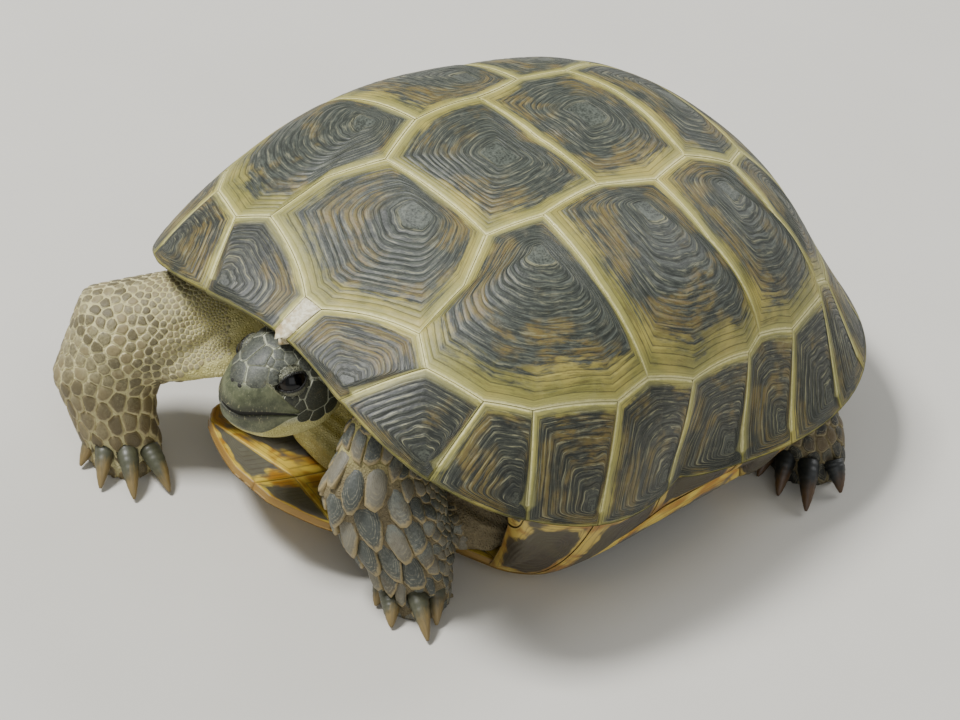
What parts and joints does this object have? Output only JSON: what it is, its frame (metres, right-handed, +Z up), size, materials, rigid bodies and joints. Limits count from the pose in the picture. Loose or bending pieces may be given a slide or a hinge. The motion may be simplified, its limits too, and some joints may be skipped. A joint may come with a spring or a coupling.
{
  "type": "steppe tortoise (Testudo horsfieldii), still life-size model",
  "caption": "Life-size steppe tortoise walking with its front raised: low round shell with ringed scutes, scaly head and limbs, clawed feet.",
  "frame": {"origin": "middle of the model's footprint, on the floor under it", "axes": "+Z up, nose towards -Y, the animal's left side towards +X"},
  "size_m": [0.1608, 0.2094, 0.0976],
  "materials": {
    "skin": "dry, matt, scaly",
    "scute": "worn horn with fine growth rings and a soft sheen",
    "border": "pale worn horn",
    "belly": "worn ochre horn with dark patches",
    "claw": "smooth horn, satin",
    "eye": "wet gloss, near black"
  },
  "bodies": {
    "root": {"vertebral_1": "scute", "vertebral_2": "scute", "vertebral_3": "scute", "vertebral_4": "scute", "vertebral_5": "scute", "costal_left_1": "scute", "costal_left_2": "scute", "costal_left_3": "scute", "costal_left_4": "scute", "costal_right_1": "scute", "costal_right_2": "scute", "costal_right_3": "scute", "costal_right_4": "scute", "nuchal": "border", "supracaudal": "scute", "marginals_left": "scute", "marginals_right": "scute", "gular_left": "belly", "gular_right": "belly", "humeral_left": "belly", "humeral_right": "belly", "pectoral_left": "belly", "pectoral_right": "belly", "abdominal_left": "belly", "abdominal_right": "belly", "femoral_left": "belly", "femoral_right": "belly", "anal_left": "belly", "anal_right": "belly", "trunk": "skin", "head": "skin", "neck": "skin", "tail": "skin", "eye_left": "eye", "eye_right": "eye", "left_foreleg": "skin", "left_forefoot": "skin", "left_foreclaw_1": "claw", "left_foreclaw_2": "claw", "left_foreclaw_3": "claw", "left_foreclaw_4": "claw", "left_hindleg": "skin", "left_hindfoot": "skin", "left_hindclaw_1": "claw", "left_hindclaw_2": "claw", "left_hindclaw_3": "claw", "left_hindclaw_4": "claw", "right_foreleg": "skin", "right_forefoot": "skin", "right_foreclaw_1": "claw", "right_foreclaw_2": "claw", "right_foreclaw_3": "claw", "right_foreclaw_4": "claw", "right_hindleg": "skin", "right_hindfoot": "skin", "right_hindclaw_1": "claw", "right_hindclaw_2": "claw", "right_hindclaw_3": "claw", "right_hindclaw_4": "claw"}
  },
  "joints": []
}
